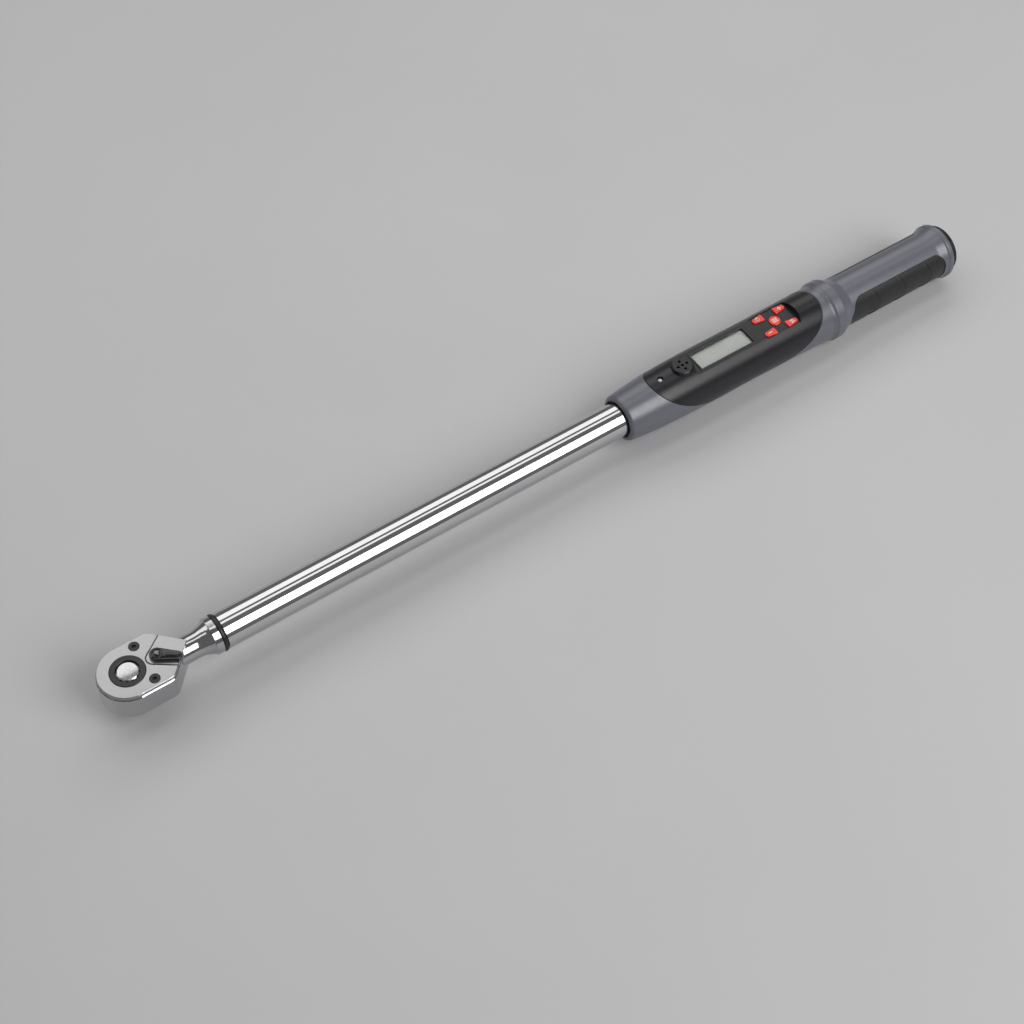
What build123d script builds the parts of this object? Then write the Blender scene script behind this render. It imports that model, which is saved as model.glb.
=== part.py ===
from build123d import *
import math
import os

os.makedirs("parts", exist_ok=True)

# Digital torque wrench with a half-inch ratchet head.
# Frame: origin on the drive axis at the head's lower face, +X along the tube
# towards the grip, +Z up on the display side.  All sizes in millimetres.

# ------------------------------------------------------------------ driving dimensions
AXIS_Z = 12.0            # height of the tube axis above the head's lower face
FIT = 0.05               # running clearance of a shaft in its bore

HEAD_TOP = 21.2          # upper face of the ratchet head
HEAD_R = 18.9            # round end of the forged head
PLATE_R = 18.2           # round end of the cover plate
PLATE_T = 2.4
DECK_Z = HEAD_TOP - PLATE_T
SHOULDER_X = 21.0        # where the parallel sides of the head end
NECK_APEX_X = 38.8       # apex of the tapered head, on the neck
SCREW_PLACES = ((10.9, 13.1), (10.9, -13.1))
LAND_GAP = 0.35          # groove between the cover plate and the land of the lever

GEAR_TEETH = 36
GEAR_TIP_R = 13.4
GEAR_ROOT_R = 12.3
GEAR_BASE_Z = 4.5
GEAR_TOP_Z = DECK_Z - 0.4
CAVITY_R = 14.0
CAVITY_FLOOR_Z = 4.0
HUB_RING_R = 10.8
SPINDLE_HUB_R = 9.2
SQUARE = 12.7            # half-inch drive square
SQUARE_END_Z = -15.5

BUTTON_R = 6.86
BUTTON_TRAVEL = 3.0
STEM_R = 2.35
BALL_R = 2.4
BALL_Z = -8.5
BALL_REACH = 4.97        # ball centre from the drive axis
BALL_TRAVEL = 1.1

LEVER_X = 19.3           # reversing lever pivot
LEVER_REST_DEG = -38.0
LEVER_LENGTH = 14.7
LEVER_HUB_R = 4.6
LEVER_SHAFT_R = 2.0
PAWL_SWING_DEG = 8.0
PAWL_Z0 = 6.0
PAWL_Z1 = 16.0

TUBE_R = 11.75
TUBE_BORE_R = 10.15
TUBE_START_X = 59.8
TUBE_END_X = 635.5
SEAL_X = 56.9
SEAL_WIDTH = 2.8

HOUSING_START_X = 355.7
HOUSING_END_X = 525.3
WALL = 2.2               # housing and cover wall
COVER_INSET = 0.25       # the housing stands proud of the cover
SEAM = 0.3
FLAT_Z = 17.4            # flat of the control cover, above the tube axis
KEY_FLOOR_Z = 16.4       # floor of the keypad recess, above the tube axis
CEILING_Z = 14.9         # underside of the flat, above the tube axis
BOARD_Z = 11.9           # underside of the circuit board, above the tube axis
BOARD_T = 1.1
BOARD_START_X = 386.0
BOARD_END_X = 504.0

LED_X = 388.5
BUZZER_X = 406.5
WINDOW_X = 440.2         # display window centre
WINDOW_LENGTH = 43.8
WINDOW_WIDTH = 13.8
KEYPAD_X = 485.9         # centre key
KEY_OFFSET_X = 8.9
KEY_OFFSET_Y = 7.0

GRIP_START_X = 525.5
GRIP_END_X = 636.2
GRIP_R = 17.6
FLANGE_R = 21.6
CAP_START_X = 636.9
CAP_END_X = 641.9
CAP_R = 17.3

TUBE_PLANE = Plane(origin=(0, 0, AXIS_Z), x_dir=(0, 1, 0), z_dir=(1, 0, 0))
SIDE_PLANE = Plane(origin=(0, 0, AXIS_Z), x_dir=(1, 0, 0), z_dir=(0, -1, 0))
TUBE_AXIS = Axis((0, 0, AXIS_Z), (1, 0, 0))


def save(solid, name):
    """Label a finished piece and write it as its own STEP file."""
    solid.label = name
    export_step(solid, f"parts/{name}.step")


def polar(radius, degrees):
    """Point at a radius and angle from the sketch origin."""
    angle = math.radians(degrees)
    return (radius * math.cos(angle), radius * math.sin(angle))


def ring(x_start, x_end, outer, inner=0.0):
    """Plain round ring, or disc, on the tube axis."""
    with BuildPart() as piece:
        with BuildSketch(TUBE_PLANE.offset(x_start)):
            Circle(outer)
            if inner:
                Circle(inner, mode=Mode.SUBTRACT)
        extrude(amount=x_end - x_start)
    return piece.part


# ------------------------------------------------------------------ ratchet head
def head_outline(round_r, half_width, apex_x, corner):
    """Plan of the head: round end, parallel sides, taper to the neck."""
    with BuildSketch() as outline:
        Circle(round_r)
        with BuildLine():
            Polyline(
                (0, half_width),
                (SHOULDER_X, half_width),
                (apex_x, 0),
                (SHOULDER_X, -half_width),
                (0, -half_width),
                close=True,
            )
        make_face()
        shoulders = outline.vertices().filter_by_position(Axis.X, SHOULDER_X - 0.1, SHOULDER_X + 0.1)
        fillet(shoulders, radius=corner)
    return outline.sketch


def lever_pocket(inset):
    """Rounded V around the reversing lever, open towards the neck."""
    nose_x = 16.5
    nose_r = 4.4 - inset
    half_angle = 36.0
    reach = 34.0
    touch = polar(nose_r, 90 + half_angle)
    run = polar(reach, half_angle)
    with BuildSketch() as pocket:
        with Locations((nose_x, 0)):
            Circle(nose_r)
        with BuildLine():
            Polyline(
                (nose_x + touch[0], touch[1]),
                (nose_x + touch[0] + run[0], touch[1] + run[1]),
                (nose_x + touch[0] + run[0], -touch[1] - run[1]),
                (nose_x + touch[0], -touch[1]),
                close=True,
            )
        make_face()
    return pocket.sketch


PAWL_CAVITY_HUB_R = 7.9
PAWL_HUB_R = 7.2
PAWL_BACK_R = 16.3       # outer radius of the toothed ends, from the drive axis
PAWL_HALF_DEG = 33.0
NECK_R = 8.4
COLLAR_R = 12.0
COLLAR_START_X = 52.3
SHANK_R = 10.0
SHANK_END_X = 80.0
SPIGOT_R = 6.0
SPIGOT_START_X = 64.0
PIN_X = 72.0             # cross pin through the shank and the sensor beam
PIN_R = 1.48


def fan(radius, half_angle):
    """Filled sector about the drive axis, opening towards +X."""
    with BuildSketch() as sector:
        with BuildLine():
            arc = CenterArc((0, 0), radius, -half_angle, 2 * half_angle)
            Polyline(arc @ 1, (0, 0), arc @ 0)
        make_face()
    return sector.sketch


body_plan = head_outline(HEAD_R, HEAD_R - 0.1, NECK_APEX_X, 6.0)
top_plan = head_outline(PLATE_R, PLATE_R - 0.1, NECK_APEX_X, 6.0)

with BuildPart() as head_body:
    with BuildSketch(Plane.XY):
        add(body_plan)
    extrude(amount=DECK_Z)
    chamfer(head_body.faces().sort_by(Axis.Z)[0].outer_wire().edges(), length=1.6)
    chamfer(head_body.faces().sort_by(Axis.Z)[-1].outer_wire().edges(), length=0.6)
    # raised land that carries the lever, flush with the cover plate
    with BuildSketch(Plane.XY.offset(DECK_Z)):
        add(top_plan)
        add(lever_pocket(LAND_GAP), mode=Mode.INTERSECT)
    extrude(amount=PLATE_T)
    chamfer(head_body.faces().sort_by(Axis.Z)[-1].outer_wire().edges(), length=0.25)
    # round neck flaring to the collar, and the shank inside the tube
    with BuildSketch(SIDE_PLANE):
        with BuildLine():
            throat = Spline(
                (NECK_APEX_X + 2.0, NECK_R),
                (NECK_APEX_X + 7.0, NECK_R + 0.3),
                (COLLAR_START_X, COLLAR_R - 0.6),
            )
            Polyline(
                throat @ 1,
                (COLLAR_START_X + 0.3, COLLAR_R),
                (SEAL_X - 0.1, COLLAR_R),
                (SEAL_X - 0.1, SHANK_R),
                (SHANK_END_X, SHANK_R),
                (SHANK_END_X, 0),
                (26, 0),
                (26, NECK_R),
                throat @ 0,
            )
        make_face()
    revolve(axis=TUBE_AXIS)
    # gear cavity, spindle bore and pawl cavity
    with BuildSketch(Plane.XY.offset(CAVITY_FLOOR_Z)):
        Circle(CAVITY_R)
    extrude(amount=DECK_Z - CAVITY_FLOOR_Z, mode=Mode.SUBTRACT)
    with BuildSketch(Plane.XY):
        Circle(SPINDLE_HUB_R + FIT)
    extrude(amount=CAVITY_FLOOR_Z, mode=Mode.SUBTRACT)
    with BuildSketch(Plane.XY.offset(PAWL_Z0 - 1)):
        with Locations((LEVER_X, 0)):
            Circle(PAWL_CAVITY_HUB_R)
        add(fan(PAWL_BACK_R + 2.2, PAWL_HALF_DEG + 8))
    extrude(amount=PAWL_Z1 - PAWL_Z0 + 1.3, mode=Mode.SUBTRACT)
    # lever shaft bore, and the blind seat for its lower end
    with BuildSketch(Plane.XY.offset(2.5)):
        with Locations((LEVER_X, 0)):
            Circle(LEVER_SHAFT_R + FIT)
    extrude(amount=HEAD_TOP, mode=Mode.SUBTRACT)
    # tapped holes of the cover plate screws
    with BuildSketch(Plane.XY.offset(DECK_Z - 11)):
        with Locations(SCREW_PLACES):
            Circle(1.5)
    extrude(amount=11, mode=Mode.SUBTRACT)
    # socket for the sensor beam, and its cross pin hole
    with BuildSketch(TUBE_PLANE.offset(SPIGOT_START_X)):
        Circle(SPIGOT_R)
    extrude(amount=SHANK_END_X - SPIGOT_START_X, mode=Mode.SUBTRACT)
    with BuildSketch(SIDE_PLANE):
        with Locations((PIN_X, 0)):
            Circle(PIN_R + 0.02)
    extrude(amount=SHANK_R + 1, both=True, mode=Mode.SUBTRACT)
save(head_body.part, "head_body")

with BuildPart() as head_cover_plate:
    with BuildSketch(Plane.XY.offset(DECK_Z)):
        add(top_plan)
        add(lever_pocket(0.0), mode=Mode.SUBTRACT)
        Circle(HUB_RING_R + 0.15, mode=Mode.SUBTRACT)
    extrude(amount=PLATE_T)
    chamfer(head_cover_plate.faces().sort_by(Axis.Z)[-1].outer_wire().edges(), length=0.35)
    with Locations([(x, y, HEAD_TOP) for x, y in SCREW_PLACES]):
        CounterBoreHole(radius=1.7, counter_bore_radius=3.4, counter_bore_depth=1.7)
save(head_cover_plate.part, "head_cover_plate")

with BuildPart() as cover_screws:
    with Locations([(x, y, DECK_Z + 0.7) for x, y in SCREW_PLACES]):
        Cylinder(3.2, 1.6, align=(Align.CENTER, Align.CENTER, Align.MIN))
        Cylinder(1.5, 10, align=(Align.CENTER, Align.CENTER, Align.MAX))
    with BuildSketch(Plane.XY.offset(HEAD_TOP - 1.3)):
        with Locations(SCREW_PLACES):
            RegularPolygon(1.5, 6)
    extrude(amount=2, mode=Mode.SUBTRACT)
save(cover_screws.part, "cover_screws")

with BuildPart() as thrust_washer:
    with BuildSketch(Plane.XY.offset(CAVITY_FLOOR_Z + 0.05)):
        Circle(12)
        Circle(SPINDLE_HUB_R + 0.4, mode=Mode.SUBTRACT)
    extrude(amount=0.3)
save(thrust_washer.part, "thrust_washer")


# ------------------------------------------------------------------ drive spindle
def gear_plan(grow):
    """Ratchet gear outline with symmetrical V teeth, grown outwards by a clearance."""
    half_pitch = 180 / GEAR_TEETH
    radii = (GEAR_TIP_R + grow, GEAR_ROOT_R + grow)
    corners = [polar(radii[step % 2], step * half_pitch) for step in range(2 * GEAR_TEETH)]
    with BuildSketch() as plan:
        with BuildLine():
            Polyline(*corners, close=True)
        make_face()
    return plan.sketch


with BuildPart() as drive_spindle:
    with BuildSketch(Plane.XY.offset(GEAR_BASE_Z)):
        add(gear_plan(0))
    extrude(amount=GEAR_TOP_Z - GEAR_BASE_Z)
    with BuildSketch(Plane.XY.offset(-1)):
        Circle(SPINDLE_HUB_R)
    extrude(amount=GEAR_BASE_Z + 1)
    with BuildSketch(Plane.XY.offset(SQUARE_END_Z)):
        RectangleRounded(SQUARE, SQUARE, 1.2)
    extrude(amount=-1 - SQUARE_END_Z)
    chamfer(drive_spindle.faces().sort_by(Axis.Z)[0].outer_wire().edges(), length=0.9)
    # bore for the release stem, stepped for its spring and its head
    with BuildSketch(Plane.XY.offset(-13)):
        Circle(STEM_R + FIT)
    extrude(amount=40, mode=Mode.SUBTRACT)
    with BuildSketch(Plane.XY.offset(8.5)):
        Circle(5.2)
    extrude(amount=20, mode=Mode.SUBTRACT)
    with BuildSketch(Plane.XY.offset(13.8)):
        Circle(BUTTON_R + 0.15)
    extrude(amount=20, mode=Mode.SUBTRACT)
    # radial hole of the detent ball
    with BuildSketch(Plane.XZ):
        with Locations((0, BALL_Z)):
            Circle(BALL_R + FIT)
    extrude(amount=SQUARE, mode=Mode.SUBTRACT)
save(drive_spindle.part, "drive_spindle")

with BuildPart() as hub_ring:
    with BuildSketch(Plane.XY.offset(GEAR_TOP_Z)):
        Circle(HUB_RING_R)
        Circle(BUTTON_R + 0.35, mode=Mode.SUBTRACT)
    extrude(amount=HEAD_TOP + 0.3 - GEAR_TOP_Z)
    chamfer(hub_ring.faces().sort_by(Axis.Z)[-1].edges(), length=0.4)
save(hub_ring.part, "hub_ring")

SCALLOPS = 12
BUTTON_TOP_Z = HEAD_TOP + 0.5
with BuildPart() as release_button:
    with BuildSketch(Plane.XY.offset(17.2)):
        Circle(BUTTON_R)
        with PolarLocations(BUTTON_R + 0.5, SCALLOPS):
            Circle(0.9, mode=Mode.SUBTRACT)
    extrude(amount=BUTTON_TOP_Z - 17.2, taper=1)
    # slightly crowned top
    with BuildPart(mode=Mode.PRIVATE) as crown:
        with BuildSketch(Plane.XZ):
            with BuildLine():
                Polyline(
                    (0, BUTTON_TOP_Z),
                    (0, 17),
                    (BUTTON_R + 1, 17),
                    (BUTTON_R + 1, BUTTON_TOP_Z - 1.5),
                    (BUTTON_R - 0.9, BUTTON_TOP_Z - 0.35),
                )
                ThreePointArc(
                    (BUTTON_R - 0.9, BUTTON_TOP_Z - 0.35),
                    (BUTTON_R / 2, BUTTON_TOP_Z - 0.08),
                    (0, BUTTON_TOP_Z),
                )
            make_face()
        revolve(axis=Axis.Z)
    add(crown.part, mode=Mode.INTERSECT)
    # stem with a cone that lets the detent ball sink when the button is pushed
    with BuildSketch(Plane.XZ):
        with BuildLine():
            Polyline(
                (0, -9.9),
                (STEM_R - 0.4, -9.9),
                (STEM_R, -9.4),
                (STEM_R, BALL_Z),
                (STEM_R - BALL_TRAVEL, BALL_Z + BUTTON_TRAVEL),
                (STEM_R - BALL_TRAVEL, BALL_Z + BUTTON_TRAVEL + 2.6),
                (STEM_R, BALL_Z + BUTTON_TRAVEL + 3.8),
                (STEM_R, 17.2),
                (0, 17.2),
                close=True,
            )
        make_face()
    revolve(axis=Axis.Z)
save(release_button.part, "release_button")


def coil_spring(base, wire_r, coil_r, length, turns):
    """Helical compression spring standing on a plane."""
    pitch = (length - 2 * wire_r) / turns
    with BuildPart() as spring:
        with BuildLine() as path:
            start = base.offset(wire_r)
            Helix(pitch, length - 2 * wire_r, coil_r, center=start.origin, direction=start.z_dir)
        with BuildSketch(Plane(origin=path.line @ 0, z_dir=path.line % 0)):
            Circle(wire_r)
        sweep()
    return spring.part


release_spring = coil_spring(Plane.XY.offset(8.6), 0.45, 4.0, 8.4, 5)
save(release_spring, "release_spring")

with BuildPart() as detent_ball:
    with Locations((0, -BALL_REACH, BALL_Z)):
        Sphere(BALL_R)
save(detent_ball.part, "detent_ball")


# ------------------------------------------------------------------ reversing lever and pawl
lever_plane = Plane(origin=(LEVER_X, 0, 0), x_dir=polar(1, LEVER_REST_DEG) + (0,), z_dir=(0, 0, 1))
PLUNGER_Z = 11.0
LEVER_Z0 = HEAD_TOP + 0.15
LEVER_T = 2.1
RIB_T = 0.6
plunger_dir = lever_plane.x_dir
plunger_plane = Plane(origin=(LEVER_X, 0, PLUNGER_Z), z_dir=plunger_dir)

with BuildPart() as reverse_lever:
    with BuildSketch(lever_plane.offset(LEVER_Z0)):
        Circle(LEVER_HUB_R)
        with BuildLine():
            Polyline(
                (0, LEVER_HUB_R),
                (LEVER_LENGTH - 1.2, 3.0),
                (LEVER_LENGTH, 1.8),
                (LEVER_LENGTH, -1.8),
                (LEVER_LENGTH - 1.2, -3.0),
                (0, -LEVER_HUB_R),
                close=True,
            )
        make_face()
    extrude(amount=LEVER_T)
    fillet(reverse_lever.faces().sort_by(Axis.Z)[-1].edges(), radius=0.6)
    # raised rings round the rivet, and a thumb rib
    with BuildSketch(lever_plane.offset(LEVER_Z0 + LEVER_T)):
        Circle(3.3)
        Circle(2.5, mode=Mode.SUBTRACT)
        Circle(2.0)
        with Locations((9.0, 0)):
            SlotOverall(7.8, 1.9)
    extrude(amount=RIB_T)
    fillet(reverse_lever.faces().sort_by(Axis.Z)[-3:].edges(), radius=0.25)
    # shaft down through the head to its blind seat
    with BuildSketch(Plane.XY.offset(2.8)):
        with Locations((LEVER_X, 0)):
            Circle(LEVER_SHAFT_R)
    extrude(amount=LEVER_Z0 - 2.8)
    # radial hole of the plunger and its spring
    with BuildSketch(plunger_plane.offset(-1.5)):
        Circle(1.05)
    extrude(amount=5, mode=Mode.SUBTRACT)
save(reverse_lever.part, "reverse_lever")

with BuildPart() as lever_rivet:
    with BuildSketch(Plane.XY.offset(LEVER_Z0 + LEVER_T + RIB_T)):
        with Locations((LEVER_X, 0)):
            Circle(1.7)
    extrude(amount=0.8)
    fillet(lever_rivet.faces().sort_by(Axis.Z)[-1].edges(), radius=0.7)
save(lever_rivet.part, "lever_rivet")

with BuildPart() as pawl_plunger:
    with BuildSketch(plunger_plane.offset(0.2)):
        Circle(1.0)
    extrude(amount=5.0)
    tip = pawl_plunger.edges().sort_by(Axis(origin=plunger_plane.origin, direction=plunger_dir))[-1]
    fillet(tip, radius=0.8)
save(pawl_plunger.part, "pawl_plunger")

plunger_spring = coil_spring(plunger_plane.offset(-1.45), 0.15, 0.75, 1.6, 4)
save(plunger_spring, "plunger_spring")

pawl_pivot = (LEVER_X, 0)
with BuildPart() as pawl:
    with BuildSketch(Plane.XY.offset(PAWL_Z0)):
        add(fan(PAWL_BACK_R, PAWL_HALF_DEG))
        add(fan(GEAR_TIP_R + 0.5, 15), mode=Mode.SUBTRACT)
        with Locations(pawl_pivot):
            Circle(PAWL_HUB_R)
        add(fan(GEAR_TIP_R + 0.5, 15), mode=Mode.SUBTRACT)
        # teeth that fit the gear in both rest positions
        add(gear_plan(0.12), mode=Mode.SUBTRACT)
        add(gear_plan(0.12).rotate(Axis((LEVER_X, 0, 0), (0, 0, 1)), PAWL_SWING_DEG), mode=Mode.SUBTRACT)
        with Locations(pawl_pivot):
            Circle(LEVER_SHAFT_R + FIT, mode=Mode.SUBTRACT)
    extrude(amount=PAWL_Z1 - PAWL_Z0)
    # window swept by the plunger
    with BuildSketch(Plane.XY.offset(PLUNGER_Z - 1.6)):
        with BuildLine():
            sweep_arc = CenterArc(pawl_pivot, 5.6, -84, 168)
            Polyline(sweep_arc @ 1, pawl_pivot, sweep_arc @ 0)
        make_face()
    extrude(amount=3.2, mode=Mode.SUBTRACT)
save(pawl.part, "pawl")


# ------------------------------------------------------------------ tube and torque sensor
BEAM_R = 7.0
PLUG_START_X = 150.0
PLUG_END_X = 172.0
GAUGE_FLAT_X = 116.0     # middle of the flats that carry the strain gauges
GAUGE_FLAT_LENGTH = 36.0
GAUGE_FLAT_HALF = 4.4
TUBE_SCREW_PLACES = ((156.0, 0), (166.0, 0))
GAUGE_T = 0.25
CABLE_R = 1.0

with BuildPart() as neck_seal_ring:
    with BuildSketch(TUBE_PLANE.offset(SEAL_X)):
        Circle(12.3)
        Circle(SHANK_R + 0.05, mode=Mode.SUBTRACT)
    extrude(amount=SEAL_WIDTH)
    fillet(neck_seal_ring.edges().filter_by(GeomType.CIRCLE).sort_by(SortBy.RADIUS)[-2:], radius=1.1)
save(neck_seal_ring.part, "neck_seal_ring")

with BuildPart() as tube:
    with BuildSketch(TUBE_PLANE.offset(TUBE_START_X)):
        Circle(TUBE_R)
        Circle(TUBE_BORE_R, mode=Mode.SUBTRACT)
    extrude(amount=TUBE_END_X - TUBE_START_X)
    chamfer(tube.faces().sort_by(Axis.X)[0].outer_wire().edges(), length=0.5)
    # cable outlets under the circuit board
    with BuildSketch(Plane.XY.offset(AXIS_Z)):
        with Locations((375.5, 1.5), (512, 0)):
            SlotOverall(20, 9)
    extrude(amount=TUBE_R + 1, mode=Mode.SUBTRACT)
    # countersunk holes on the underside for the sensor beam screws
    with BuildSketch(Plane.XY.offset(AXIS_Z)):
        with Locations(TUBE_SCREW_PLACES):
            Circle(2.0)
    extrude(amount=-TUBE_R - 1, mode=Mode.SUBTRACT)
save(tube.part, "tube")

with BuildPart() as sensor_beam:
    with BuildSketch(TUBE_PLANE.offset(SPIGOT_START_X + 0.5)):
        Circle(SPIGOT_R - 0.02)
    extrude(amount=SHANK_END_X - SPIGOT_START_X)
    with BuildSketch(TUBE_PLANE.offset(SHANK_END_X + 0.5)):
        Circle(BEAM_R)
    extrude(amount=PLUG_START_X - SHANK_END_X)
    with BuildSketch(TUBE_PLANE.offset(PLUG_START_X)):
        Circle(TUBE_BORE_R - 0.03)
    extrude(amount=PLUG_END_X - PLUG_START_X)
    # flats that carry the strain gauges
    with BuildSketch(Plane.XY.offset(AXIS_Z)):
        with Locations((GAUGE_FLAT_X, 0)):
            Rectangle(GAUGE_FLAT_LENGTH, 3 * BEAM_R)
            Rectangle(GAUGE_FLAT_LENGTH, 2 * GAUGE_FLAT_HALF, mode=Mode.SUBTRACT)
    extrude(amount=BEAM_R + 1, both=True, mode=Mode.SUBTRACT)
    # cable way through the plug, cross pin hole and tapped holes of the tube screws
    with BuildSketch(TUBE_PLANE.offset(PLUG_START_X - 1)):
        with Locations((0, 8.1)):
            Circle(CABLE_R + 0.35)
    extrude(amount=30, mode=Mode.SUBTRACT)
    with BuildSketch(SIDE_PLANE):
        with Locations((PIN_X, 0)):
            Circle(PIN_R + 0.02)
    extrude(amount=SHANK_R, both=True, mode=Mode.SUBTRACT)
    with BuildSketch(Plane.XY.offset(AXIS_Z)):
        with Locations(TUBE_SCREW_PLACES):
            Circle(1.7)
    extrude(amount=-TUBE_R, mode=Mode.SUBTRACT)
save(sensor_beam.part, "sensor_beam")

with BuildPart() as beam_pin:
    with BuildSketch(SIDE_PLANE):
        with Locations((PIN_X, 0)):
            Circle(PIN_R)
            Circle(0.7, mode=Mode.SUBTRACT)
    extrude(amount=SHANK_R - 0.6, both=True)
save(beam_pin.part, "beam_pin")

with BuildPart() as tube_screws:
    with BuildSketch(Plane.XY.offset(AXIS_Z - TUBE_R + 0.2)):
        with Locations(TUBE_SCREW_PLACES):
            Circle(1.95)
    extrude(amount=1.3)
    with BuildSketch(Plane.XY.offset(AXIS_Z - TUBE_R + 1.5)):
        with Locations(TUBE_SCREW_PLACES):
            Circle(1.65)
    extrude(amount=8)
    with BuildSketch(Plane.XY.offset(AXIS_Z - TUBE_R)):
        with Locations(TUBE_SCREW_PLACES):
            RegularPolygon(1.0, 6)
    extrude(amount=1.2, mode=Mode.SUBTRACT)
save(tube_screws.part, "tube_screws")

with BuildPart() as strain_gauges:
    for plane_y in (GAUGE_FLAT_HALF + 0.01, -GAUGE_FLAT_HALF - 0.01 - GAUGE_T):
        with BuildSketch(Plane.XZ.offset(plane_y)):
            with Locations((GAUGE_FLAT_X - 8, AXIS_Z), (GAUGE_FLAT_X + 8, AXIS_Z)):
                RectangleRounded(9, 5, 0.8)
        extrude(amount=GAUGE_T)
save(strain_gauges.part, "strain_gauges")

with BuildPart() as gauge_terminal:
    with Locations((143, 0, AXIS_Z + BEAM_R - 0.6)):
        Box(7, 6, 1.2, align=(Align.CENTER, Align.CENTER, Align.MIN))
    with BuildSketch(TUBE_PLANE.offset(139)):
        Circle(BEAM_R)
    extrude(amount=8, mode=Mode.SUBTRACT)
save(gauge_terminal.part, "gauge_terminal")

CABLE_ROUTE = [
    (146.6, 0, AXIS_Z + 8.1),
    (196, 0, AXIS_Z + 8.0),
    (250, 0, AXIS_Z + 6.2),
    (302, 0, AXIS_Z + 5.2),
    (350, 0, AXIS_Z + 5.7),
    (373, 1.0, AXIS_Z + 9.4),
    (383, 4.5, AXIS_Z + 14.5),
    (391.5, 5.0, AXIS_Z + 14.7),
    (400, 5.0, AXIS_Z + 14.5),
]
with BuildPart() as gauge_cable:
    with BuildLine() as cable_path:
        FilletPolyline(*CABLE_ROUTE, radius=12)
    with BuildSketch(Plane(origin=cable_path.line @ 0, z_dir=cable_path.line % 0)):
        Circle(CABLE_R)
    sweep()
save(gauge_cable.part, "gauge_cable")


# ------------------------------------------------------------------ housing and control cover
# station along the tube, section radius, height of the section centre above the tube axis
SECTIONS = (
    (HOUSING_START_X, 16.0, 0.0),
    (378.0, 18.2, 0.4),
    (402.0, 19.3, 0.8),
    (440.0, 19.5, 0.9),
    (490.0, 19.6, 0.8),
    (516.0, 19.9, 0.3),
    (HOUSING_END_X, 20.0, 0.0),
)
TUBE_CLEAR_R = TUBE_R + 0.05
CAVITY_START_X = 374.0
CAVITY_END_X = 518.0
CEILING_START_X = 411.0
CEILING_END_X = 509.0
FLAT_START_X = 413.0
FLAT_END_X = 490.0       # inside the keypad recess, which ends it
SOUNDER_TOP_Z = 21.9     # top of the sounder boss, above the tube axis
RECESS_START_X = 470.6
RECESS_END_X = 502.3
RECESS_WIDTH = 21.0
BOSS_PLACES = [(x, side * 15.0) for x in (405.0, 498.0) for side in (1, -1)]
BOSS_BASE_Z = -13.6      # above the tube axis
SCREW_SEAT_Z = -6.9
BOARD_SCREW_PLACES = [(x, side * 7.9) for x in (413.0, 467.5) for side in (1, -1)]


def body_envelope(inset):
    """Outer form of the housing and its cover, as a loft of round sections."""
    with BuildPart() as envelope:
        for x, radius, rise in SECTIONS:
            with BuildSketch(TUBE_PLANE.offset(x)):
                with Locations((0, rise)):
                    Circle(radius - inset)
        loft()
    return envelope.part


# saddle-shaped parting line of the cover, seen from the side: place along the tube, height
PARTING_MIDDLE_X = 449.5
PARTING_HALF_LENGTH = 71.5
PARTING = (
    (378.0, 20.0),
    (391.5, 9.0),
    (408.5, -0.8),
    (430.0, -8.2),
    (455.0, -10.6),
    (478.0, -8.6),
    (497.0, -1.6),
    (512.0, 9.2),
    (521.0, 21.0),
)


def cover_zone(grow):
    """Block above the parting line, grown outwards by a small seam clearance."""
    stretch = 1 + grow / PARTING_HALF_LENGTH
    points = [(PARTING_MIDDLE_X + (x - PARTING_MIDDLE_X) * stretch, z - grow) for x, z in PARTING]
    with BuildPart() as zone:
        with BuildSketch(SIDE_PLANE):
            with BuildLine():
                parting = Spline(*points)
                Polyline(parting @ 1, (points[-1][0], 40), (points[0][0], 40), parting @ 0)
            make_face()
        extrude(amount=30, both=True)
    return zone.part


def keypad_recess():
    """Plan of the keypad recess, with a bowed rear edge."""
    side_end_x = RECESS_END_X - 1.9
    half = RECESS_WIDTH / 2
    with BuildSketch() as plan:
        with BuildLine():
            Polyline((side_end_x, half), (RECESS_START_X, half), (RECESS_START_X, -half), (side_end_x, -half))
            ThreePointArc((side_end_x, -half), (RECESS_END_X, 0), (side_end_x, half))
        make_face()
        fillet(plan.vertices().group_by(Axis.X)[0], radius=1.6)
    return plan.sketch


outer_form = body_envelope(0)
with BuildPart() as inner_form:
    add(body_envelope(WALL))
    with BuildSketch(TUBE_PLANE.offset(CAVITY_START_X)):
        Rectangle(80, 80)
    extrude(amount=CAVITY_END_X - CAVITY_START_X, mode=Mode.INTERSECT)

with BuildPart() as housing_body:
    add(outer_form)
    fillet(housing_body.faces().sort_by(Axis.X)[0].outer_wire().edges(), radius=2.6)
    add(inner_form.part, mode=Mode.SUBTRACT)
    # bosses beside the tube for the housing screws
    with BuildPart(mode=Mode.PRIVATE) as lower_bosses:
        with BuildSketch(Plane.XY.offset(AXIS_Z + BOSS_BASE_Z)):
            with Locations(BOSS_PLACES):
                Circle(2.6)
        extrude(amount=20)
        add(outer_form, mode=Mode.INTERSECT)
    add(lower_bosses.part)
    with BuildSketch(TUBE_PLANE.offset(HOUSING_START_X - 1)):
        Circle(TUBE_CLEAR_R)
    extrude(amount=200, mode=Mode.SUBTRACT)
    with BuildSketch(TUBE_PLANE.offset(HOUSING_START_X - 1)):
        Circle(13.3)
    extrude(amount=3.5, mode=Mode.SUBTRACT)
    add(cover_zone(SEAM), mode=Mode.SUBTRACT)
    with Locations([(x, y, AXIS_Z) for x, y in BOSS_PLACES]):
        Cylinder(1.3, 40, mode=Mode.SUBTRACT)
    with BuildSketch(Plane.XY.offset(AXIS_Z + SCREW_SEAT_Z)):
        with Locations(BOSS_PLACES):
            Circle(2.3)
    extrude(amount=-12, mode=Mode.SUBTRACT)
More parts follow.
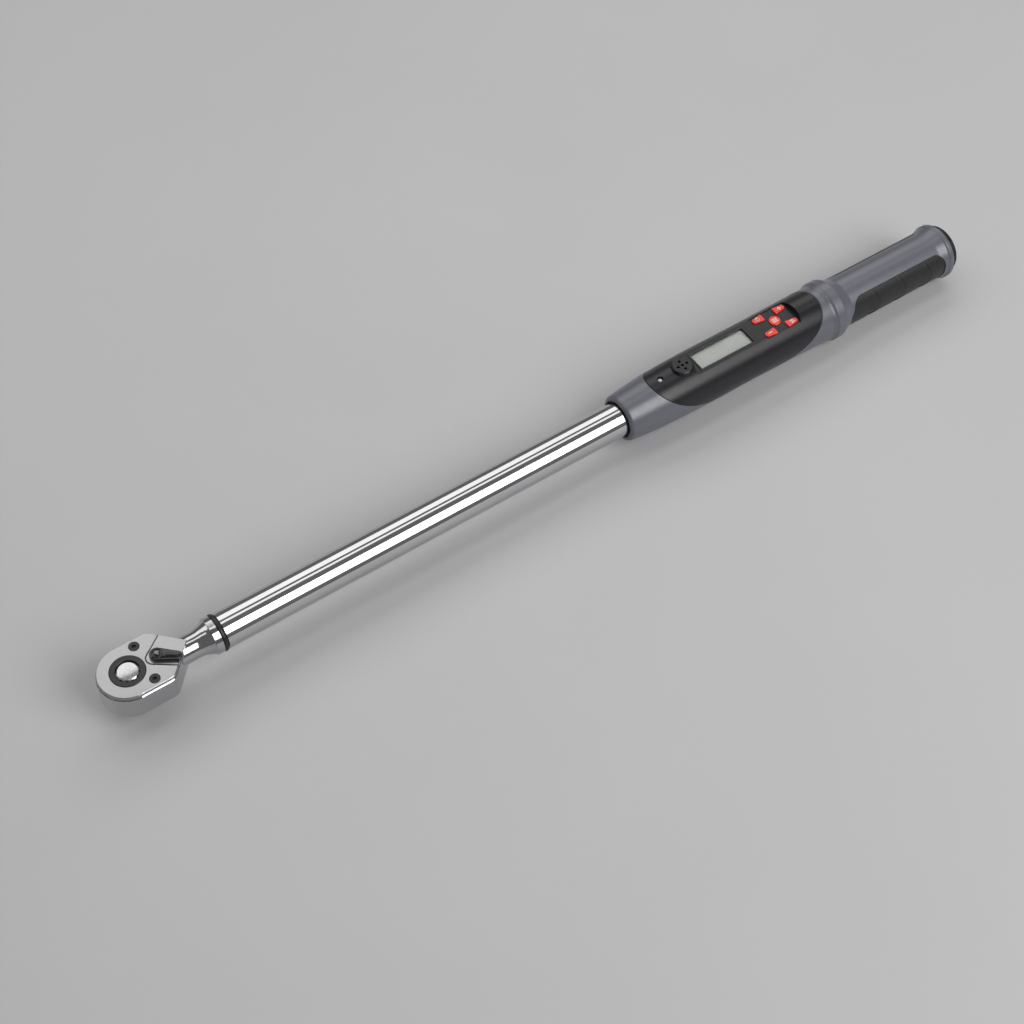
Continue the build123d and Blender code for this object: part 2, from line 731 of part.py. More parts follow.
save(housing_body.part, "housing_body")


def key_outline(grow):
    """Bullet-shaped key: straight inner end, rounded outer end towards +X."""
    with BuildSketch() as outline:
        with BuildLine():
            Polyline((-4.2, 3.0), (-4.2, -3.0), (2.4, -2.0))
            ThreePointArc((2.4, -2.0), (4.8, 0), (2.4, 2.0))
            Line((2.4, 2.0), (-4.2, 3.0))
        make_face()
        fillet(outline.vertices().filter_by_position(Axis.X, -4.3, -4.1), radius=0.8)
        if grow:
            offset(amount=grow)
    return outline.sketch


KEY_R = 4.05
# name: offset from the centre key, direction of the rounded end
SIDE_KEYS = {
    "key_plus": (KEY_OFFSET_X, KEY_OFFSET_Y, 0),
    "key_minus": (-KEY_OFFSET_X, -KEY_OFFSET_Y, 180),
    "key_power": (-KEY_OFFSET_X, KEY_OFFSET_Y, 180),
    "key_units": (KEY_OFFSET_X, -KEY_OFFSET_Y, 0),
}


def key_hole(name, grow, height):
    """Outline of a key, or of its hole, on a plane above the tube axis."""
    dx, dy, turn = SIDE_KEYS[name]
    place = Location((KEYPAD_X + dx, dy, AXIS_Z + height), (0, 0, turn))
    return place * key_outline(grow)


cover_form = body_envelope(COVER_INSET)
with BuildPart() as control_cover:
    add(cover_form)
    add(cover_zone(0), mode=Mode.INTERSECT)
    # flat for the display, and the lower keypad recess behind it
    with BuildSketch(Plane.XY.offset(AXIS_Z + FLAT_Z)):
        with Locations(((FLAT_START_X + FLAT_END_X) / 2, 0)):
            Rectangle(FLAT_END_X - FLAT_START_X, 26)
    extrude(amount=10, mode=Mode.SUBTRACT)
    with BuildSketch(Plane.XY.offset(AXIS_Z + KEY_FLOOR_Z)):
        add(keypad_recess())
    extrude(amount=10, mode=Mode.SUBTRACT)
    # sounder boss with a flared foot
    with BuildSketch(SIDE_PLANE):
        with BuildLine():
            Polyline(
                (BUZZER_X, 15.0),
                (BUZZER_X + 10.2, 15.0),
                (BUZZER_X + 10.2, 16.9),
            )
            ThreePointArc(
                (BUZZER_X + 10.2, 16.9),
                (BUZZER_X + 8.2, 18.2),
                (BUZZER_X + 7.3, 20.5),
            )
            Polyline(
                (BUZZER_X + 7.3, 20.5),
                (BUZZER_X + 7.1, 21.4),
                (BUZZER_X + 6.6, SOUNDER_TOP_Z),
                (BUZZER_X, SOUNDER_TOP_Z),
                (BUZZER_X, 15.0),
            )
        make_face()
    revolve(axis=Axis((BUZZER_X, 0, 0), (0, 0, 1)))
    # cavity, left closed under the flat
    with BuildPart(mode=Mode.PRIVATE) as cover_cavity:
        add(inner_form.part)
        with BuildSketch(Plane.XY.offset(AXIS_Z + CEILING_Z)):
            with Locations(((CEILING_START_X + CEILING_END_X) / 2, 0)):
                Rectangle(CEILING_END_X - CEILING_START_X, 40)
        extrude(amount=12, mode=Mode.SUBTRACT)
    add(cover_cavity.part, mode=Mode.SUBTRACT)
    # bosses for the housing screws and the board screws
    with BuildPart(mode=Mode.PRIVATE) as upper_bosses:
        with BuildSketch(Plane.XY.offset(AXIS_Z - 6)):
            with Locations(BOSS_PLACES):
                Circle(2.5)
        extrude(amount=14)
        add(cover_form, mode=Mode.INTERSECT)
        add(cover_zone(0), mode=Mode.INTERSECT)
    add(upper_bosses.part)
    with BuildSketch(Plane.XY.offset(AXIS_Z + BOARD_Z + BOARD_T + 0.02)):
        with Locations(BOARD_SCREW_PLACES):
            Circle(1.9)
    extrude(amount=CEILING_Z - BOARD_Z - BOARD_T + 0.5)
    # room for the key mat under the recess
    with BuildSketch(Plane.XY.offset(AXIS_Z + CEILING_Z)):
        with Locations((KEYPAD_X, 0)):
            RectangleRounded(32, 22.4, 2)
    extrude(amount=-1.2, mode=Mode.SUBTRACT)
    # display opening with a wider seat for its frame
    with BuildSketch(Plane.XY.offset(AXIS_Z + CEILING_Z - 1)):
        with Locations((WINDOW_X, 0)):
            Rectangle(WINDOW_LENGTH, WINDOW_WIDTH)
    extrude(amount=12, mode=Mode.SUBTRACT)
    with BuildSketch(Plane.XY.offset(AXIS_Z + FLAT_Z - 0.8)):
        with Locations((WINDOW_X, 0)):
            RectangleRounded(WINDOW_LENGTH + 3.2, WINDOW_WIDTH + 2.6, 0.8)
    extrude(amount=5, mode=Mode.SUBTRACT)
    # keys, lamp and sounder holes
    with BuildSketch(Plane.XY.offset(AXIS_Z)):
        with Locations((KEYPAD_X, 0)):
            Circle(KEY_R + 0.2)
        with Locations((LED_X, 0)):
            Circle(2.3)
    extrude(amount=30, mode=Mode.SUBTRACT)
    for key_name in SIDE_KEYS:
        with BuildSketch(Plane.XY.offset(AXIS_Z)):
            add(key_hole(key_name, 0.2, 0))
        extrude(amount=30, mode=Mode.SUBTRACT)
    with BuildSketch(Plane.XY.offset(AXIS_Z)):
        with Locations((BUZZER_X, 0)):
            Circle(5.2)
    extrude(amount=20.2, mode=Mode.SUBTRACT)
    with BuildSketch(Plane.XY.offset(AXIS_Z + 18)):
        with Locations((BUZZER_X, 0)):
            Circle(1.0)
            with PolarLocations(3.5, 4):
                Circle(1.0)
    extrude(amount=8, mode=Mode.SUBTRACT)
    # screw holes in the bosses
    with BuildSketch(Plane.XY.offset(AXIS_Z - 6)):
        with Locations(BOSS_PLACES):
            Circle(1.2)
    extrude(amount=12.5, mode=Mode.SUBTRACT)
    with BuildSketch(Plane.XY.offset(AXIS_Z + BOARD_Z)):
        with Locations(BOARD_SCREW_PLACES):
            Circle(0.9)
    extrude(amount=4.4, mode=Mode.SUBTRACT)
save(control_cover.part, "control_cover")

with BuildPart() as housing_screws:
    with BuildSketch(Plane.XY.offset(AXIS_Z + SCREW_SEAT_Z - 1.5)):
        with Locations(BOSS_PLACES):
            Circle(2.1)
    extrude(amount=1.5)
    with BuildSketch(Plane.XY.offset(AXIS_Z + SCREW_SEAT_Z)):
        with Locations(BOSS_PLACES):
            Circle(1.15)
    extrude(amount=12.5)
    with BuildSketch(Plane.XY.offset(AXIS_Z + SCREW_SEAT_Z - 2)):
        with Locations(BOSS_PLACES):
            Rectangle(2.4, 0.6)
            Rectangle(0.6, 2.4)
    extrude(amount=1.2, mode=Mode.SUBTRACT)
save(housing_screws.part, "housing_screws")


# ------------------------------------------------------------------ display and electronics
BOARD_TOP_Z = BOARD_Z + BOARD_T
BOARD_WIDTH = 20.0
SWITCH_R = 2.4
SWITCH_HEIGHT = 0.3
HOLDER_T = 1.0
MODULE_BASE_T = 0.85
MODULE_FACE_T = 0.75
WINDOW_T = 0.4
STACK_GAP = 0.05

with BuildPart() as main_board:
    with BuildSketch(Plane.XY.offset(AXIS_Z + BOARD_Z)):
        with Locations(((BOARD_START_X + BOARD_END_X) / 2, 0)):
            RectangleRounded(BOARD_END_X - BOARD_START_X, BOARD_WIDTH, 1.5)
        with Locations(BOARD_SCREW_PLACES):
            Circle(1.0, mode=Mode.SUBTRACT)
    extrude(amount=BOARD_T)
save(main_board.part, "main_board")

with BuildPart() as board_screws:
    with BuildSketch(Plane.XY.offset(AXIS_Z + BOARD_Z)):
        with Locations(BOARD_SCREW_PLACES):
            Circle(1.6)
    extrude(amount=-1.0)
    with BuildSketch(Plane.XY.offset(AXIS_Z + BOARD_Z)):
        with Locations(BOARD_SCREW_PLACES):
            Circle(0.88)
    extrude(amount=3.6)
save(board_screws.part, "board_screws")

with BuildPart() as board_chips:
    with BuildSketch(Plane.XY.offset(AXIS_Z + BOARD_TOP_Z)):
        with Locations((428, 0), (449, 2)):
            Rectangle(8, 8)
        with Locations((438, -3), (457, -4)):
            Rectangle(4, 3)
        with Locations((476.2, 0)):
            Rectangle(4, 4)
    extrude(amount=0.8)
save(board_chips.part, "board_chips")

with BuildPart() as cable_connector:
    with Locations((400.1, 5, AXIS_Z + BOARD_TOP_Z)):
        Box(4.5, 5, 2.8, align=(Align.MIN, Align.CENTER, Align.MIN))
save(cable_connector.part, "cable_connector")

with BuildPart() as display_holder:
    with BuildSketch(Plane.XY.offset(AXIS_Z + BOARD_TOP_Z)):
        with Locations((WINDOW_X, 0)):
            Rectangle(WINDOW_LENGTH + 5, WINDOW_WIDTH + 1.6)
            Rectangle(WINDOW_LENGTH + 2, WINDOW_WIDTH - 1.0, mode=Mode.SUBTRACT)
    extrude(amount=HOLDER_T)
save(display_holder.part, "display_holder")

with BuildPart() as display_module:
    with BuildSketch(Plane.XY.offset(AXIS_Z + BOARD_TOP_Z + HOLDER_T)):
        with Locations((WINDOW_X, 0)):
            Rectangle(WINDOW_LENGTH + 4, WINDOW_WIDTH + 1.2)
    extrude(amount=MODULE_BASE_T)
    with BuildSketch(Plane.XY.offset(AXIS_Z + BOARD_TOP_Z + HOLDER_T + MODULE_BASE_T)):
        with Locations((WINDOW_X, 0)):
            Rectangle(WINDOW_LENGTH - 0.4, WINDOW_WIDTH - 0.4)
    extrude(amount=MODULE_FACE_T)
save(display_module.part, "display_module")

window_z = AXIS_Z + BOARD_TOP_Z + HOLDER_T + MODULE_BASE_T + MODULE_FACE_T + STACK_GAP
with BuildPart() as display_window:
    with BuildSketch(Plane.XY.offset(window_z)):
        with Locations((WINDOW_X, 0)):
            Rectangle(WINDOW_LENGTH - 0.2, WINDOW_WIDTH - 0.2)
    extrude(amount=WINDOW_T)
save(display_window.part, "display_window")

with BuildPart() as display_frame:
    with BuildSketch(Plane.XY.offset(AXIS_Z + FLAT_Z - 0.78)):
        with Locations((WINDOW_X, 0)):
            RectangleRounded(WINDOW_LENGTH + 3.0, WINDOW_WIDTH + 2.4, 0.8)
            Rectangle(WINDOW_LENGTH, WINDOW_WIDTH, mode=Mode.SUBTRACT)
    extrude(amount=1.2)
    chamfer(display_frame.faces().sort_by(Axis.Z)[-1].edges(), length=0.25)
save(display_frame.part, "display_frame")

with BuildPart() as dome_switches:
    with BuildSketch(Plane.XY.offset(AXIS_Z + BOARD_TOP_Z)):
        with Locations((KEYPAD_X, 0)):
            Circle(SWITCH_R)
        for dx, dy, _ in SIDE_KEYS.values():
            with Locations((KEYPAD_X + dx, dy)):
                Circle(SWITCH_R)
    extrude(amount=SWITCH_HEIGHT, taper=40)
save(dome_switches.part, "dome_switches")

KEY_FLANGE_Z = 14.1      # underside of a key's flange, above the tube axis
KEY_FLANGE_T = 0.65
KEY_TOP_Z = KEY_FLOOR_Z + 1.1

with BuildPart() as key_mat:
    with BuildSketch(Plane.XY.offset(AXIS_Z + KEY_FLANGE_Z)):
        with Locations((KEYPAD_X, 0)):
            RectangleRounded(31.4, 22.0, 2)
            Circle(KEY_R + 0.55, mode=Mode.SUBTRACT)
        for key_name in SIDE_KEYS:
            add(key_hole(key_name, 0.5, KEY_FLANGE_Z), mode=Mode.SUBTRACT)
    extrude(amount=0.6)
save(key_mat.part, "key_mat")

with BuildPart() as key_centre:
    with BuildSketch(Plane.XY.offset(AXIS_Z + KEY_FLANGE_Z)):
        with Locations((KEYPAD_X, 0)):
            Circle(KEY_R + 0.4)
    extrude(amount=KEY_FLANGE_T)
    with BuildSketch(Plane.XY.offset(AXIS_Z + KEY_FLANGE_Z)):
        with Locations((KEYPAD_X, 0)):
            Circle(KEY_R)
    extrude(amount=KEY_TOP_Z - KEY_FLANGE_Z)
    fillet(key_centre.faces().sort_by(Axis.Z)[-1].edges(), radius=0.5)
save(key_centre.part, "key_centre")

for key_name in SIDE_KEYS:
    with BuildPart() as side_key:
        with BuildSketch(Plane.XY.offset(AXIS_Z + KEY_FLANGE_Z)):
            add(key_hole(key_name, 0.35, KEY_FLANGE_Z))
        extrude(amount=KEY_FLANGE_T)
        with BuildSketch(Plane.XY.offset(AXIS_Z + KEY_FLANGE_Z)):
            add(key_hole(key_name, 0, KEY_FLANGE_Z))
        extrude(amount=KEY_TOP_Z - KEY_FLANGE_Z)
        fillet(side_key.faces().sort_by(Axis.Z)[-1].edges(), radius=0.5)
    save(side_key.part, key_name)

with BuildPart() as status_led:
    with BuildSketch(Plane.XY.offset(AXIS_Z + BOARD_TOP_Z)):
        with Locations((LED_X, 0)):
            Circle(2.0)
    extrude(amount=4.2)
    with Locations((LED_X, 0, AXIS_Z + BOARD_TOP_Z + 4.2)):
        Sphere(1.6)
save(status_led.part, "status_led")

with BuildPart() as sounder:
    with BuildSketch(Plane.XY.offset(AXIS_Z + BOARD_TOP_Z + 3.4)):
        with Locations((BUZZER_X, 0)):
            Circle(5.0)
    extrude(amount=3.0)
    with BuildSketch(Plane.XY.offset(AXIS_Z + BOARD_TOP_Z)):
        with Locations((BUZZER_X + 2.4, 4.2), (BUZZER_X + 2.4, -4.2)):
            Circle(0.4)
    extrude(amount=3.6)
save(sounder.part, "sounder")


# ------------------------------------------------------------------ grip
PAD_START_X = 543.3
PAD_END_X = 629.7
PAD_SLANT = 5.0
PAD_HALF_HEIGHT = 13.2
PAD_DEPTH = 2.2
PAD_PROUD = 0.25
SCOOP_STARTS = (558.8, 582.8, 606.6)
SCOOP_WIDTH = 10.4
SCOOP_HALF_HEIGHT = 12.4
SCOOP_BOW_X = 5.6        # corner of a scoop, behind its front edge
SCOOP_DEPTH = 1.8


def pad_block(grow):
    """Side view of a grip pad: long panel with a slanted front and a round rear end."""
    with BuildPart() as block:
        with BuildSketch(SIDE_PLANE) as outline:
            with BuildLine():
                Polyline(
                    (PAD_START_X + PAD_SLANT, PAD_HALF_HEIGHT),
                    (PAD_START_X, 0),
                    (PAD_START_X + PAD_SLANT, -PAD_HALF_HEIGHT),
                    (PAD_END_X, -PAD_HALF_HEIGHT),
                    (PAD_END_X, PAD_HALF_HEIGHT),
                    close=True,
                )
            make_face()
            fillet(outline.vertices().group_by(Axis.X)[-1], radius=9)
            front = outline.vertices().filter_by_position(Axis.X, PAD_START_X, PAD_START_X + PAD_SLANT)
            fillet(front, radius=7)
            if grow:
                offset(amount=grow)
        extrude(amount=30, both=True)
    return block.part


# place along the tube and blend radius of the grip's outer corners
GRIP_BLENDS = ((529.0, 0.7), (535.0, 0.9), (536.5, 4.0), (543.5, 5.0), (626.0, 9.0), (633.6, 0.8))

with BuildPart() as grip_body:
    with BuildSketch(SIDE_PLANE) as profile:
        with BuildLine():
            Polyline(
                (GRIP_START_X, TUBE_CLEAR_R),
                (GRIP_START_X, 19.9),
                (527.2, 20.5),
                (529.0, FLANGE_R),
                (535.0, FLANGE_R),
                (536.5, 20.6),
                (543.5, GRIP_R),
                (626.0, GRIP_R),
                (632.4, 19.0),
                (633.6, 19.9),
                (GRIP_END_X, 19.9),
                (GRIP_END_X, TUBE_CLEAR_R),
                close=True,
            )
        make_face()
        for corner_x, blend in GRIP_BLENDS:
            corner = profile.vertices().filter_by_position(Axis.X, corner_x - 0.05, corner_x + 0.05)
            fillet(corner, radius=blend)
        fillet(profile.vertices().group_by(Axis.X)[-1].sort_by(Axis.Z)[-1], radius=1.2)
    revolve(axis=TUBE_AXIS)
    with BuildPart(mode=Mode.PRIVATE) as pad_recess:
        add(pad_block(0.12))
        with BuildSketch(TUBE_PLANE.offset(PAD_START_X - 2)):
            Circle(40)
            Circle(GRIP_R - PAD_DEPTH - 0.06, mode=Mode.SUBTRACT)
        extrude(amount=PAD_END_X - PAD_START_X + 4, mode=Mode.INTERSECT)
    add(pad_recess.part, mode=Mode.SUBTRACT)
save(grip_body.part, "grip_body")


def scoop_cutter(x):
    """Finger scoop: lens-shaped from the side, deepest at its front edge."""
    lower = (x + SCOOP_BOW_X, -SCOOP_HALF_HEIGHT)
    upper = (x + SCOOP_BOW_X, SCOOP_HALF_HEIGHT)
    with BuildPart() as cutter:
        with BuildSketch(SIDE_PLANE):
            with BuildLine():
                ThreePointArc(lower, (x, 0), upper)
                ThreePointArc(upper, (x + SCOOP_WIDTH, 0), lower)
            make_face()
        extrude(amount=30, both=True)
        with BuildPart(mode=Mode.PRIVATE) as ramp:
            with BuildSketch(SIDE_PLANE):
                with BuildLine():
                    Polyline(
                        (x - 1, GRIP_R + PAD_PROUD - SCOOP_DEPTH),
                        (x - 1, GRIP_R + 3),
                        (x + SCOOP_WIDTH + 1, GRIP_R + 3),
                        (x + SCOOP_WIDTH + 1, GRIP_R + PAD_PROUD + 0.1),
                        close=True,
                    )
                make_face()
            revolve(axis=TUBE_AXIS)
        add(ramp.part, mode=Mode.INTERSECT)
    return cutter.part


with BuildPart() as pad_pair:
    with BuildSketch(TUBE_PLANE.offset(PAD_START_X - 2)):
        Circle(GRIP_R + PAD_PROUD)
        Circle(GRIP_R - PAD_DEPTH, mode=Mode.SUBTRACT)
    extrude(amount=PAD_END_X - PAD_START_X + 4)
    add(pad_block(0), mode=Mode.INTERSECT)
    for x in SCOOP_STARTS:
        add(scoop_cutter(x), mode=Mode.SUBTRACT)
far_pad, near_pad = pad_pair.part.solids().sort_by(Axis.Y, reverse=True)
save(Part(far_pad.wrapped), "grip_pad_left")
save(Part(near_pad.wrapped), "grip_pad_right")


# ------------------------------------------------------------------ battery compartment and cap
CELL_R = 7.1
CELL_LENGTH = 50.5
CELL_START_X = 525.6
SLEEVE_START_X = 521.0
SLEEVE_END_X = 628.0

save(ring(SLEEVE_START_X, SLEEVE_END_X, TUBE_BORE_R - 0.1, 7.6), "battery_sleeve")

with BuildPart() as battery_cells:
    for index in range(2):
        cell_x = CELL_START_X + index * (CELL_LENGTH + 0.1)
        with BuildSketch(TUBE_PLANE.offset(cell_x + 1.4)):
            Circle(CELL_R)
        extrude(amount=CELL_LENGTH - 1.4)
        with BuildSketch(TUBE_PLANE.offset(cell_x)):
            Circle(2.7)
        extrude(amount=1.5)
save(battery_cells.part, "battery_cells")

with BuildPart() as front_contact:
    add(ring(523.6, 524.1, 7.2))
    add(ring(524.1, 525.5, 2.4))
save(front_contact.part, "front_contact")

LEAD_ROUTE = [
    (523.5, 0, AXIS_Z + 5.0),
    (517.5, 0, AXIS_Z + 6.5),
    (511.8, 0, AXIS_Z + 10.0),
    (507.2, 0, AXIS_Z + 13.7),
    (501.8, 0, AXIS_Z + 13.75),
]
with BuildPart() as battery_leads:
    for side in (1, -1):
        route = [(x, side * 1.6, z) for x, _, z in LEAD_ROUTE]
        with BuildLine() as lead_path:
            FilletPolyline(*route, radius=6)
        with BuildSketch(Plane(origin=lead_path.line @ 0, z_dir=lead_path.line % 0)):
            Circle(0.6)
        sweep(path=lead_path.line)
save(battery_leads.part, "battery_leads")

with BuildPart() as end_cap:
    with BuildSketch(TUBE_PLANE.offset(CAP_START_X)):
        Circle(CAP_R)
    extrude(amount=CAP_END_X - CAP_START_X)
    fillet(end_cap.faces().sort_by(Axis.X)[-1].edges(), radius=1.6)
    fillet(end_cap.faces().sort_by(Axis.X)[0].edges(), radius=0.6)
    # plain skirt standing in for the thread, hollow for the contact spring
    with BuildSketch(TUBE_PLANE.offset(CAP_START_X - 6)):
        Circle(TUBE_BORE_R - 0.1)
        Circle(8.0, mode=Mode.SUBTRACT)
    extrude(amount=6.2)
    # finger notches round the rim and a coin slot
    with BuildSketch(TUBE_PLANE.offset(CAP_START_X + 1.2)):
        with PolarLocations(CAP_R + 1.0, 24):
            Circle(1.6)
    extrude(amount=8, mode=Mode.SUBTRACT)
    with BuildSketch(TUBE_PLANE.offset(CAP_END_X - 1.4)):
        SlotOverall(18, 2.2)
    extrude(amount=3, mode=Mode.SUBTRACT)
save(end_cap.part, "end_cap")

save(ring(GRIP_END_X + 0.05, CAP_START_X, 13.2, 11.9), "cap_seal_ring")

with BuildPart() as cap_contact:
    add(ring(CAP_START_X - 3.4, CAP_START_X - 0.1, 2.0))
    add(ring(CAP_START_X - 3.9, CAP_START_X - 3.4, 6.2))
save(cap_contact.part, "cap_contact")

contact_spring = coil_spring(TUBE_PLANE.offset(626.9), 0.4, 4.6, 5.9, 4)
save(contact_spring, "contact_spring")
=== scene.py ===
"""Digital torque wrench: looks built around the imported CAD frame."""
import math

import bmesh
import bpy
from mathutils import Euler, Matrix, Vector


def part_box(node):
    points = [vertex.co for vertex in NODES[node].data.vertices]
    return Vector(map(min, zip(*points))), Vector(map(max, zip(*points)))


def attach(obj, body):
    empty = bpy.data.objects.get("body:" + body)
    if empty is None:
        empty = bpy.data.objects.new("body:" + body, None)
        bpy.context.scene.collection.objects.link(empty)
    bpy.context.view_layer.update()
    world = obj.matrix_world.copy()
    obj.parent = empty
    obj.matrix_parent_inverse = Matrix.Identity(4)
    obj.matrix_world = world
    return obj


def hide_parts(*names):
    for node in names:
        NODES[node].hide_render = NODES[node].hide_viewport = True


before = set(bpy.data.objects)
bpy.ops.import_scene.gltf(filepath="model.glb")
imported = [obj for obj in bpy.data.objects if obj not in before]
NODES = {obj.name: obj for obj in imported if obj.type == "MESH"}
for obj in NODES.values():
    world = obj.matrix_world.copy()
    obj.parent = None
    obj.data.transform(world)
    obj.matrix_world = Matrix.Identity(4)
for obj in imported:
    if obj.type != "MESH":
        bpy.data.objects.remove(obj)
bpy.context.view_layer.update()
MM = 0.001                         # metres in a millimetre


# ------------------------------------------------------------------ node helpers
NOISE_ROUGHNESS = 0.55
NOISE_LOW, NOISE_HIGH = 0.3, 0.7   # most noise values lie between these


def new_material(name):
    """Material with its node tree and its main shader."""
    material = bpy.data.materials.new(name)
    material.use_nodes = True
    tree = material.node_tree
    return material, tree, tree.nodes["Principled BSDF"]


def coordinates(tree, scale):
    """The object's own coordinates in metres, stretched per axis."""
    place = tree.nodes.new("ShaderNodeTexCoord")
    mapping = tree.nodes.new("ShaderNodeMapping")
    mapping.inputs["Scale"].default_value = scale
    tree.links.new(place.outputs["Object"], mapping.inputs["Vector"])
    return mapping.outputs["Vector"]


def noise(tree, scale, detail, stretch=(1, 1, 1)):
    """Noise value, with a scale in grains per metre."""
    texture = tree.nodes.new("ShaderNodeTexNoise")
    texture.inputs["Scale"].default_value = scale
    texture.inputs["Detail"].default_value = detail
    texture.inputs["Roughness"].default_value = NOISE_ROUGHNESS
    tree.links.new(coordinates(tree, stretch), texture.inputs["Vector"])
    return texture.outputs["Fac"]


def span(tree, value, low, high, from_low=NOISE_LOW, from_high=NOISE_HIGH):
    """A value carried from one span to another, and held at its ends."""
    node = tree.nodes.new("ShaderNodeMapRange")
    node.inputs["From Min"].default_value = from_low
    node.inputs["From Max"].default_value = from_high
    node.inputs["To Min"].default_value = low
    node.inputs["To Max"].default_value = high
    tree.links.new(value, node.inputs["Value"])
    return node.outputs["Result"]


def blend_colour(tree, factor, first, second):
    """Colour between two others."""
    node = tree.nodes.new("ShaderNodeMix")
    node.data_type = "RGBA"
    node.inputs["A"].default_value = (*first, 1)
    node.inputs["B"].default_value = (*second, 1)
    tree.links.new(factor, node.inputs["Factor"])
    return node.outputs["Result"]


def bump(tree, shader, height, strength, distance):
    """Relief on a shader, with its depth in metres."""
    node = tree.nodes.new("ShaderNodeBump")
    node.inputs["Strength"].default_value = strength
    node.inputs["Distance"].default_value = distance
    tree.links.new(height, node.inputs["Height"])
    tree.links.new(node.outputs["Normal"], shader.inputs["Normal"])


def finish_material(name, low, high, metallic=0.0, rough=(0.4, 0.5), tint_scale=60, rough_scale=900,
                    grain=2500, grain_strength=0.2, grain_size=0.00005, stretch=(1, 1, 1), **sockets):
    """Base colour and roughness wander between two values, over a fine grain."""
    material, tree, shader = new_material(name)
    tint = noise(tree, tint_scale, 4.0)
    colour = blend_colour(tree, span(tree, tint, 0, 1), low, high)
    tree.links.new(colour, shader.inputs["Base Color"])
    patches = noise(tree, rough_scale, 5.0, stretch)
    tree.links.new(span(tree, patches, *rough), shader.inputs["Roughness"])
    shader.inputs["Metallic"].default_value = metallic
    if grain_strength:
        bump(tree, shader, noise(tree, grain, 2.0, stretch), grain_strength, grain_size)
    for socket, value in sockets.items():
        shader.inputs[socket.replace("_", " ")].default_value = value
    return material


# ------------------------------------------------------------------ materials
FORGED_TINT = (0.50, 0.50, 0.51)
DECK_TINT = (0.435, 0.435, 0.44)
FORGED_ROUGH = (0.05, 0.11)
SATIN_ROUGH = (0.30, 0.36)
DECK_START = (0.0205, 0.0208)      # heights between which polished turns to satin
DECK_NORMAL = (0.985, 0.995)       # upward parts of the normal between which it does


def forged_material():
    """Polished chrome whose flat upper deck is satin, like the cover plate beside it."""
    material, tree, shader = new_material("forged_chrome")
    geometry = tree.nodes.new("ShaderNodeNewGeometry")
    normal = tree.nodes.new("ShaderNodeSeparateXYZ")
    tree.links.new(geometry.outputs["Normal"], normal.inputs["Vector"])
    place = tree.nodes.new("ShaderNodeSeparateXYZ")
    tree.links.new(coordinates(tree, (1, 1, 1)), place.inputs["Vector"])
    facing_up = span(tree, normal.outputs["Z"], 0, 1, *DECK_NORMAL)
    on_deck = span(tree, place.outputs["Z"], 0, 1, *DECK_START)
    deck = tree.nodes.new("ShaderNodeMath")
    deck.operation = "MULTIPLY"
    tree.links.new(facing_up, deck.inputs[0])
    tree.links.new(on_deck, deck.inputs[1])
    colour = blend_colour(tree, deck.outputs[0], FORGED_TINT, DECK_TINT)
    tree.links.new(colour, shader.inputs["Base Color"])
    polish = span(tree, noise(tree, 160, 4.0), *FORGED_ROUGH)
    satin = span(tree, noise(tree, 500, 5.0), *SATIN_ROUGH)
    blend = tree.nodes.new("ShaderNodeMix")
    tree.links.new(deck.outputs[0], blend.inputs["Factor"])
    tree.links.new(polish, blend.inputs["A"])
    tree.links.new(satin, blend.inputs["B"])
    tree.links.new(blend.outputs["Result"], shader.inputs["Roughness"])
    shader.inputs["Metallic"].default_value = 1.0
    bump(tree, shader, noise(tree, 190, 2.0), 0.40, 0.00022)
    return material


FORGED = forged_material()
SATIN = finish_material("satin_steel", (0.42, 0.42, 0.425), (0.45, 0.45, 0.455), 1.0, SATIN_ROUGH,
                        tint_scale=25, rough_scale=500, grain=3500, grain_strength=0.10, grain_size=0.00002)
CHROME = finish_material("polished_chrome", (0.57, 0.57, 0.58), (0.60, 0.60, 0.61), 1.0, (0.035, 0.085),
                         tint_scale=15, rough_scale=120, grain=140, grain_strength=0.05, grain_size=0.00005)
BUTTON = finish_material("worn_chrome", (0.50, 0.50, 0.51), (0.56, 0.56, 0.57), 1.0, (0.14, 0.26),
                         tint_scale=300, rough_scale=700, grain=420, grain_strength=0.30, grain_size=0.00010)
HARD = finish_material("ground_steel", (0.42, 0.42, 0.43), (0.52, 0.52, 0.53), 1.0, (0.22, 0.34),
                       grain=1800, grain_strength=0.2, stretch=(1, 6, 1))
SPRING = finish_material("spring_wire", (0.45, 0.45, 0.47), (0.55, 0.55, 0.56), 1.0, (0.2, 0.3))
BLACK_STEEL = finish_material("black_oxide", (0.028, 0.028, 0.031), (0.05, 0.05, 0.054), 0.6, (0.26, 0.36),
                              grain=2500, grain_strength=0.1)
RING_STEEL = finish_material("grey_ring", (0.042, 0.042, 0.044), (0.056, 0.056, 0.058), 0.7, (0.34, 0.42),
                             grain=2500, grain_strength=0.1)
LEVER_BLACK = finish_material("gloss_black", (0.006, 0.006, 0.007), (0.010, 0.010, 0.011), 0.0, (0.07, 0.12),
                              grain=500, grain_strength=0.03, IOR=1.60)
RIVET = finish_material("gloss_rivet", (0.16, 0.16, 0.165), (0.20, 0.20, 0.205), 1.0, (0.10, 0.16),
                        grain_strength=0.0)
RUBBER = finish_material("black_rubber", (0.010, 0.010, 0.011), (0.015, 0.015, 0.016), 0.0, (0.36, 0.44),
                         grain=5000, grain_strength=0.12, grain_size=0.00004)
GREY = finish_material("grey_plastic", (0.112, 0.116, 0.141), (0.121, 0.125, 0.151), 0.0, (0.30, 0.35),
                       tint_scale=18, rough_scale=260, grain=5000, grain_strength=0.06, grain_size=0.00003,
                       IOR=1.72)
